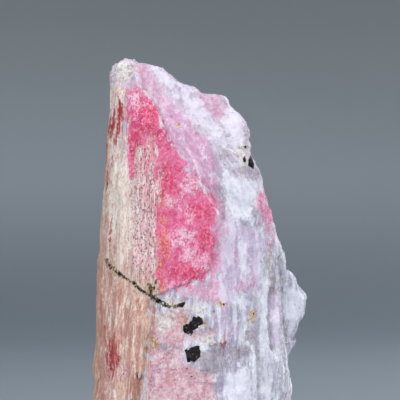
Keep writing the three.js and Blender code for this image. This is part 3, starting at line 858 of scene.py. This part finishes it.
# Clear grey grains, together with painted shade at the shoulder and painted shadow under the black grains.
clear_rock_and_shade = blended((fine * 0.4 + mottle * 0.6).eased(0.42, 0.58), tint(144, 134, 147), tint(178, 168, 181))
colour = blended(field("glassy_and_shade", ragged * 4 + drawn_out * 2, -0.3, 0.5) * 0.8, colour, clear_rock_and_shade)
mauve = blended(fine.eased(0.42, 0.58), tint(170, 120, 150), tint(206, 158, 186))
colour = blended(field("mauve", ragged * 3 + drawn_out * 2, -0.35, 0.5) * 0.8, colour, mauve)
white_rock = blended(mottle.eased(0.36, 0.6), tint(206, 207, 225), tint(232, 232, 246))
white_rock = blended((fine * 0.2 + streaks * 0.8).eased(0.52, 0.62) * 0.7, white_rock, tint(247, 247, 253))
white_rock = blended(place[2].eased(38.0, 46.0) * 0.4, white_rock, tint(218, 200, 222))
white_rock = blended(lower_right * 0.3, white_rock, tint(190, 198, 212))
colour = blended(field("white", ragged * 4.5 + drawn_out * 2, -0.3, 0.4), colour, white_rock)
cream = blended((fine * 0.5 + mottle * 0.5).eased(0.4, 0.58), tint(186, 176, 178), tint(236, 231, 228))
colour = blended(field("cream", ragged * 4, -0.3, 0.5) * 0.9, colour, cream)

# The pink: sugary crystals, deep in some places and pale in others, with painted glints.
sugar = (grain_chance * 0.15 + fine * 0.2 + mottle * 0.65).eased(0.4, 0.6)
sugar_pink = blended(sugar, tint(219, 76, 130), tint(233, 130, 172))
deep = field("deep", ragged * 5, -0.7, 0.7)
deep_pink = (salt * 0.6 + crumb_chance * 0.4).eased(0.42, 0.62)
deep_pink = blended(deep_pink, tint(208, 32, 86), tint(236, 122, 162))
sugar_pink = blended(deep * 0.85, sugar_pink, deep_pink)
pale = field("pale", ragged * 5, -0.5, 0.4) * (salt * 0.6 + mottle * 0.4).eased(0.42, 0.54)
sugar_pink = blended(pale * 0.85, sugar_pink, tint(240, 206, 226))
# Painted glints: small white flecks on the pink, thicker high up.
glint_flecks = (salt * 0.5 + crumb_chance * 0.3 + mottle * 0.2).eased(0.63, 0.68)
glint_flecks = glint_flecks * (0.45 + place[2].eased(37.0, 42.0) * 0.3)
sugar_pink = blended(glint_flecks, sugar_pink, tint(252, 230, 240))
rim = blended((fine * 0.5 + strands * 0.5).eased(0.42, 0.56), tint(216, 52, 74), tint(232, 152, 144))
sugar_pink = blended(field("rim", ragged * 5 + drawn_out * 3, -0.6, 0.45) * 0.85, sugar_pink, rim)
soft = place[0].eased(-3.0, 1.0) * 0.45
hot = field("hot", ragged * 3.4 + drawn_out * 2.4, -0.25 - soft, 0.3 + soft)
colour = blended(hot, colour, sugar_pink)

# The fibres: fine cream strands peppered with dark specks, redder and darker towards the foot.
upper = place[2].eased(25.0, 36.0)
pepper = field("pepper", ragged * 5 + drawn_out * 4, -0.8, 0.8)
fibres = blended(bands.eased(0.42, 0.58), tint(226, 188, 172), tint(204, 150, 138))
fibres = blended(upper * 0.85, fibres, tint(247, 234, 224))
fibres = blended(pepper * 0.65, fibres, tint(238, 186, 200))
fibres = blended(field("hot", ragged * 4, 0.6, 1.8) * 0.5, fibres, tint(230, 104, 144))
fibres = blended(strands.eased(0.5, 0.6) * (0.6 + upper * 0.25), fibres, tint(251, 247, 241))
fibres = blended((1 - strands.eased(0.38, 0.48)) * (0.65 - upper * 0.3), fibres, tint(164, 116, 104))
fibres = blended(specks.eased(0.53, 0.59) * (0.35 + pepper * 0.45), fibres,
                 blended(pepper, tint(136, 96, 82), tint(112, 58, 74)))
bright_strands = (salt * 0.45 + strands * 0.55).eased(0.55, 0.61) * (0.4 + upper * 0.35)
fibres = blended(bright_strands, fibres, tint(253, 250, 248))
fibre = field("fibre", drawn_out * 5 + ragged * 3, -0.12, 0.14)
colour = blended(fibre, colour, fibres)

# Stains, red streaks, painted shade in the grooves, painted highlights along the crests, and the crack.
stained = field("tan", ragged * 4 + drawn_out * 2, -0.35, 0.5)
stain = blended(place[0].eased(1.0, 3.0), tint(172, 118, 92), tint(138, 116, 112))
colour = blended(stained * (0.9 - strands * 0.6), colour, stain)
ochre = blended((fine * 0.5 + salt * 0.5).eased(0.42, 0.58), tint(150, 112, 62), tint(222, 196, 140))
colour = blended(field("ochre", ragged, -0.15, 0.1) * 0.8, colour, ochre)
red = field("red", drawn_out * 3 + ragged * 2, -0.25, 0.3)
colour = blended(red * (strands * 0.5 + fine * 0.5).eased(0.64, 0.5), colour, tint(172, 26, 46))
# Painted shade: the grooves are tinted grey where shade falls in the creases.
groove = depth_in("groove") + ragged * 0.8
colour = blended((1 - groove.eased(0.0, 0.34)) * 0.6, colour, tint(138, 134, 150))
# Painted highlight: a thin bright line along each crest, where light catches the edge.
crest_highlight = depth_in("crest_highlight") + ragged * 0.7
colour = blended((1 - crest_highlight.eased(0.03, 0.14)) * (fine * 2 - 0.3), colour, tint(250, 232, 242))
crack = depth_in("crack") + ragged * 1.6
colour = blended((1 - crack.eased(0.15, 0.6)) * fine.eased(0.42, 0.56) * 0.8, colour, tint(232, 216, 184))
colour = blended((1 - crack.eased(0.1, 0.26)) * (mottle * 0.5 + fine * 0.5).eased(0.42, 0.5) * 0.95, colour,
                 tint(48, 32, 30))

calm = field("white", ragged * 3, -0.3, 0.4).larger(field("lavender", ragged * 3, -0.4, 0.3))
calm = calm.larger(field("lilac", ragged * 3, -0.4, 0.3) * 0.7) * (1 - fibre) * (1 - hot)
rough_share = 1 - calm * 0.8
height = (strands - 0.5) * 0.22 * fibre + ((fine - 0.5) * 0.15 + (salt - 0.5) * 0.11) * rough_share
height = height + (0.5 - grains(place, 2.2, 1.9)) * 0.1 * (1 - fibre) * rough_share
height = height + (streaks - 0.5) * 0.25 * (1 - fibre) * (1 - hot)
normal = bumped(height)
surface = Wire.node(tree, "ShaderNodeBsdfPrincipled", {"subsurface_method": "RANDOM_WALK"}, {
    "Base Color": colour,
    "Roughness": 0.24 + fibre * 0.24 + (fine - 0.5) * 0.7,
    "Normal": normal,
    "IOR": 1.5,
    "Subsurface Weight": 0.15,
    "Subsurface Radius": (1.0, 0.6, 0.65),
    "Subsurface Scale": 0.0004,
})
Wire.node(tree, "ShaderNodeOutputMaterial", sockets={"Surface": surface})
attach(stone, "root")
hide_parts("tugtupite_stone")


# The black grains.
# Glossy black crystals grown into the rock, each a lump with a few flat faces, sunk to about half its depth.
# Each is its middle on the middle plane, its width and height, how far it stands out, and its turn in
# degrees.
FRONT_GRAINS = [
    (-0.74, 19.5, 2.2, 2.4, 0.46, 8), (-0.28, 23.05, 1.4, 1.3, 0.44, 30),
    (-0.75, 22.6, 1.3, 1.15, 0.42, 45), (-1.25, 22.12, 1.5, 1.3, 0.44, 50),
    (-1.98, 24.85, 1.25, 1.1, 0.25, 20), (-4.51, 25.28, 1.0, 0.85, 0.26, 10),
    (-3.74, 24.75, 0.55, 0.42, 0.15, 30), (-9.9, 29.0, 0.75, 1.15, 0.2, -20),
    (-8.9, 28.25, 0.55, 0.65, 0.14, 15), (-7.25, 27.2, 0.5, 0.42, 0.13, 0),
    (-6.75, 26.7, 0.6, 0.42, 0.14, -35), (-5.55, 26.3, 0.36, 0.95, 0.14, -25),
    (-6.1, 26.3, 0.42, 0.32, 0.12, 20), (-5.15, 25.75, 0.4, 0.55, 0.14, 30),
    (-5.05, 26.75, 0.24, 0.6, 0.1, 20), (4.95, 40.75, 0.68, 1.3, 0.3, 0),
    (5.67, 40.45, 0.88, 1.75, 0.4, -12), (4.99, 42.2, 0.36, 0.36, 0.1, 0),
    (1.49, 24.0, 0.38, 0.95, 0.14, 10), (2.64, 24.94, 0.5, 0.34, 0.12, 20),
    (-1.43, 17.85, 0.22, 0.22, 0.06, 0), (-1.2, 17.3, 0.18, 0.24, 0.06, 0),
    (-0.93, 16.97, 0.26, 0.22, 0.06, 0), (5.9, 23.9, 0.3, 0.5, 0.08, 0),
]
BACK_GRAINS = [
    (-3.4, 31.5, 1.5, 1.7, 0.32, 30), (4.1, 17.2, 1.9, 1.4, 0.35, -20), (2.9, 15.6, 1.1, 1.2, 0.3, 50),
    (-6.2, 10.4, 1.2, 1, 0.3, 8), (0.4, 33.5, 0.4, 0.5, 0.1, 0), (1.2, 24.2, 0.35, 0.3, 0.1, 0),
    (-1.6, 13.2, 0.5, 0.4, 0.12, 40),
]
GRAIN_DEPTH = 1.2
CRYSTAL_CORNERS = 12
CORNER_TURN, CORNER_STRAY = math.radians(137.5), 0.35
CORNER_OUT = (0.86, 1.12)
# A grain wider than this has smaller ones in its edges, so far from its middle and of this share of its size.
LARGE_GRAIN = 0.9
SMALLER_ONES, SMALLER_OFF, SMALLER_STRAY = 5, 0.28, 0.4
SMALLER_SHARE = (0.4, 0.56)
chances = np.random.default_rng(41)

corners = [v.co for v in stone.data.vertices]
stone_surface = BVHTree.FromPolygons(corners, [tuple(p.vertices) for p in stone.data.polygons])


def on_front(x, z):
    """Where a line of sight through a point of the middle plane meets the stone, and how it faces there."""
    eye = Vector((EYE_RIGHT, -CAMERA_DISTANCE, EYE_HEIGHT)) / PER_METRE
    return stone_surface.ray_cast(eye, (Vector((x + EYE_RIGHT, 0, z)) / PER_METRE - eye).normalized())[:2]


def on_back(x, z):
    """The same from straight behind."""
    start = Vector((x - MIDDLE[0], BACK_REACH * 2, z)) / PER_METRE
    return stone_surface.ray_cast(start, Vector((0, -1, 0)))[:2]


def crystal(made, middle, size, turn):
    """A closed many-faced lump, added to a mesh that is being made."""
    lump = bmesh.new()
    for n in range(CRYSTAL_CORNERS):
        height = 1 - 2 * (n + 0.5) / CRYSTAL_CORNERS
        girth = math.sqrt(1 - height * height)
        angle = n * CORNER_TURN + chances.uniform(-CORNER_STRAY, CORNER_STRAY)
        point = Vector((math.cos(angle) * girth, math.sin(angle) * girth, height))
        lump.verts.new(point * chances.uniform(*CORNER_OUT))
    bmesh.ops.convex_hull(lump, input=lump.verts)
    bmesh.ops.delete(lump, geom=[v for v in lump.verts if not v.link_faces], context="VERTS")
    placed = Matrix.Translation(middle) @ Matrix.Rotation(math.radians(turn), 4, "Y")
    placed = placed @ Matrix.Diagonal(tuple(s / 2 / PER_METRE for s in size) + (1.0,))
    bmesh.ops.transform(lump, matrix=placed, verts=lump.verts)
    bmesh.ops.recalc_face_normals(lump, faces=lump.faces)
    loose = bpy.data.meshes.new("crystal")
    lump.to_mesh(loose)
    lump.free()
    made.from_mesh(loose)
    bpy.data.meshes.remove(loose)


made = bmesh.new()
for found, side_grains in ((on_front, FRONT_GRAINS), (on_back, BACK_GRAINS)):
    for x, z, wide, high, out, turn in side_grains:
        spot, facing = found(x, z)
        depth = min(GRAIN_DEPTH, max(wide, high))
        middle = spot - facing * (depth / 2 - out) / PER_METRE
        crystal(made, middle, (wide, depth, high), turn)
        for n in range(SMALLER_ONES if wide > LARGE_GRAIN else 0):
            angle = n * math.tau / SMALLER_ONES + chances.uniform(-SMALLER_STRAY, SMALLER_STRAY)
            aside = Vector((math.cos(angle) * wide, 0, math.sin(angle) * high)) * SMALLER_OFF / PER_METRE
            small = chances.uniform(*SMALLER_SHARE, 3) * (wide, depth, high)
            crystal(made, middle + aside, small, chances.uniform(0, 90))
black_mesh = bpy.data.meshes.new("black_grains")
made.to_mesh(black_mesh)
made.free()
black_grains = shown("black_grains", black_mesh)

black = bare_material("black_grain")
tree = black.node_tree
place = rock_place(Wire.node(tree, "ShaderNodeTexCoord", out="Object"))
pits = cloudy(place, 6.0, 6.0, 4.0, 0.7)
# Painted glints: grey flecks on the black facets.
glint_flecks = grains(place, 7.0, 7.0, "Color")
colour = blended(pits.eased(0.4, 0.65), tint(7, 3, 5), tint(30, 18, 24))
colour = blended(glint_flecks.eased(0.86, 0.94) * 0.5, colour, tint(140, 128, 140))
normal = bumped(pits * 0.3)
surface = Wire.node(tree, "ShaderNodeBsdfPrincipled", sockets={
    "Base Color": colour,
    "Roughness": 0.16 + pits * 0.3,
    "Normal": normal,
    "IOR": 1.5,
    "Specular IOR Level": 0.3,
})
Wire.node(tree, "ShaderNodeOutputMaterial", sockets={"Surface": surface})
black_grains.data.materials.append(black)
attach(black_grains, "root")


# The grains in the crack.
# The dark crack is filled with little black-brown grains, strung along it with gaps between them.
ANY_TURN = 6.3


def grain_on_each(given, points, chosen, turn_seed, size_seed):
    """A small many-faced grain on each chosen point, turned any way and with three lengths of its own."""
    tree = points.tree
    grain = Wire.node(tree, "GeometryNodeMeshIcoSphere", sockets={"Radius": 1.0, "Subdivisions": 1})
    turn = Wire.node(tree, "FunctionNodeRandomValue", {"data_type": "FLOAT_VECTOR"},
                     {"Max": (ANY_TURN, ANY_TURN, ANY_TURN), "Seed": turn_seed})
    lengths = [Wire.node(tree, "FunctionNodeRandomValue", {"data_type": "FLOAT"},
                         {2: given["Smallest"], 3: given["Largest"], "Seed": size_seed + n}, 1)
               for n in range(3)]
    sockets = {"Points": points, "Selection": chosen, "Instance": grain, "Rotation": turn,
               "Scale": joined(*lengths)}
    return Wire.node(tree, "GeometryNodeInstanceOnPoints", sockets=sockets)


CRACK_SIZES = {
    "Grain spacing": 0.00027,
    "Smallest": 0.00004,
    "Largest": 0.00016,
    "Share left out": 0.5,
}
crack_mesh = bpy.data.meshes.new("crack_line")
crack_points, crack_edges = [], []
for line in CRACKS:
    start = len(crack_points)
    for (x0, z0), (x1, z1) in zip(line, line[1:]):
        for share in (0, 0.5):
            crack_points.append(on_front(x0 + (x1 - x0) * share, z0 + (z1 - z0) * share)[0])
    crack_points.append(on_front(*line[-1])[0])
    crack_edges += [(n, n + 1) for n in range(start, len(crack_points) - 1)]
crack_mesh.from_pydata(crack_points, crack_edges, [])
crack_grains = shown("crack_grains", crack_mesh)
tree, given = fitted_tree("grains_along_crack", CRACK_SIZES)
line = Wire.node(tree, "GeometryNodeMeshToCurve", sockets={"Mesh": given["Geometry"]})
line = Wire.node(tree, "GeometryNodeResampleCurve", {"mode": "LENGTH"},
                 {"Curve": line, "Length": given["Grain spacing"]})
kept = Wire.node(tree, "FunctionNodeRandomValue", {"data_type": "BOOLEAN"},
                 {"Probability": 1 - given["Share left out"], "Seed": 7}, 3)
ended(tree, grain_on_each(given, line, kept, turn_seed=3, size_seed=10), black)
crack_grains.data = grown(crack_grains, tree, CRACK_SIZES, "crack_grains")
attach(crack_grains, "root")


# The sugary crystals.
# Where the rock isn't fibrous it has broken into loose bright crystals, thickest on the pink, the
# flesh-coloured and the cream grains.
SUGAR_SIZES = {
    "Crystals per mm2": 2.2,
    "Smallest": 0.00006,
    "Largest": 0.0002,
}
sugar_crystals = shown("sugar_crystals", stone.data.copy())
tree, given = fitted_tree("crystals_on_break", SUGAR_SIZES)
share = named(tree, "hot").eased(-0.1, 0.3) * 0.5 + named(tree, "white").eased(-0.2, 0.4) * 0.12
share = share + named(tree, "flesh").eased(-0.3, 0.4) * 0.6 + named(tree, "cream").eased(-0.3, 0.3) * 0.8
share = (share + 0.06) * (1 - named(tree, "fibre").eased(-0.1, 0.1))
density = share * given["Crystals per mm2"] * PER_METRE**2
spread = Wire.node(tree, "GeometryNodeDistributePointsOnFaces", {"distribute_method": "RANDOM"},
                   {"Mesh": given["Geometry"], "Density": density, "Seed": 5})
ended(tree, grain_on_each(given, spread, True, turn_seed=4, size_seed=20), rock)
sugar_crystals.data = grown(sugar_crystals, tree, SUGAR_SIZES, "sugar_crystals")
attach(sugar_crystals, "root")


# The room.
# A round floor that turns up into a wall on every side, with painted falloff of light: pale by the stone,
# grey further out, and darkening up the wall. A large soft light to the upper right in front, and weaker ones
# to the left, overhead and behind.
FLOOR_PROFILE = [(0.0, 0.0), (0.06, 0.0), (0.12, 0.0), (0.2, 0.0), (0.34, 0.0)]
WALL_START, WALL_ROUND, WALL_TOP = 0.34, 0.45, 1.1
TURNS = 96
ROUND_STEPS = 17
profile = FLOOR_PROFILE + [
    (WALL_START + WALL_ROUND * math.sin(a), WALL_ROUND * (1 - math.cos(a)))
    for a in np.linspace(0, math.pi / 2, ROUND_STEPS)[1:]
] + [(WALL_START + WALL_ROUND, WALL_TOP)]
made = bmesh.new()
rings = []
for r, z in profile[1:]:
    rings.append([made.verts.new((r * math.cos(t), r * math.sin(t), z))
                  for t in np.linspace(0, 2 * math.pi, TURNS, endpoint=False)])
centre = made.verts.new((0, 0, 0))
for n in range(TURNS):
    after = (n + 1) % TURNS
    made.faces.new((centre, rings[0][n], rings[0][after]))
    for inner, outer in zip(rings, rings[1:]):
        made.faces.new((inner[n], outer[n], outer[after], inner[after]))
for face in made.faces:
    face.smooth = True
room_mesh = bpy.data.meshes.new("room")
made.to_mesh(room_mesh)
made.free()
room = shown("room", room_mesh)
paper = bare_material("grey_paper")
tree = paper.node_tree
x, y, z = parts_of(Wire.node(tree, "ShaderNodeTexCoord", out="Object"))
away = (x * x + y * y) ** 0.5
# Painted falloff of light: pale near the stone, grey further out, and darker higher up the wall.
colour = blended(away.eased(0.04, 0.15), tint(214, 216, 218), tint(136, 146, 156))
colour = blended(z.eased(0.0, 0.05), colour, tint(180, 189, 199))
colour = blended(z.eased(0.04, 0.14), colour, tint(167, 174, 177))
surface = Wire.node(tree, "ShaderNodeBsdfPrincipled", sockets={
    "Base Color": colour, "Roughness": 0.9, "Specular IOR Level": 0.1})
Wire.node(tree, "ShaderNodeOutputMaterial", sockets={"Surface": surface})
room.data.materials.append(paper)

LIGHTS = {
    # Where it stands in metres, its size, its power in watts and its colour.
    "key_light": ((0.26, -0.3, 0.3), 0.34, 1.7, (1.0, 0.985, 0.97)),
    "fill_light": ((-0.34, -0.24, 0.14), 0.34, 1.3, (1.0, 0.99, 0.98)),
    "top_light": ((0.02, 0.06, 0.42), 0.34, 0.9, (0.97, 0.985, 1.0)),
    "back_light": ((0.3, 0.24, 0.14), 0.26, 0.6, (0.97, 0.985, 1.0)),
}
TARGET = Vector((0, 0, 0.03))
for name, (where, size, power, colour) in LIGHTS.items():
    light = bpy.data.lights.new(name, "AREA")
    light.shape = "SQUARE"
    light.size, light.energy, light.color = size, power, colour
    lamp = shown(name, light)
    lamp.location = where
    lamp.rotation_mode = "QUATERNION"
    lamp.rotation_quaternion = (TARGET - Vector(where)).to_track_quat("-Z", "Y")
    lamp.visible_camera = False
world = bpy.data.worlds.new("room_air")
world.use_nodes = True
world.node_tree.nodes["Background"].inputs["Color"].default_value = (0.5, 0.53, 0.57, 1)
world.node_tree.nodes["Background"].inputs["Strength"].default_value = 0.3
bpy.context.scene.world = world
bpy.context.scene.view_settings.view_transform = "Standard"


# The camera.
# It looks level at the stone's upper two thirds, from as far off as makes the picture 44 mm wide there.
camera_data = bpy.data.cameras.new("camera")
camera_data.lens = 200
camera_data.sensor_width = 36
camera_data.clip_start, camera_data.clip_end = 0.01, 10
camera = shown("camera", camera_data)
camera.location = (EYE_RIGHT / PER_METRE, -CAMERA_DISTANCE / PER_METRE, EYE_HEIGHT / PER_METRE)
camera.rotation_euler = (math.pi / 2, 0, 0)
bpy.context.scene.camera = camera
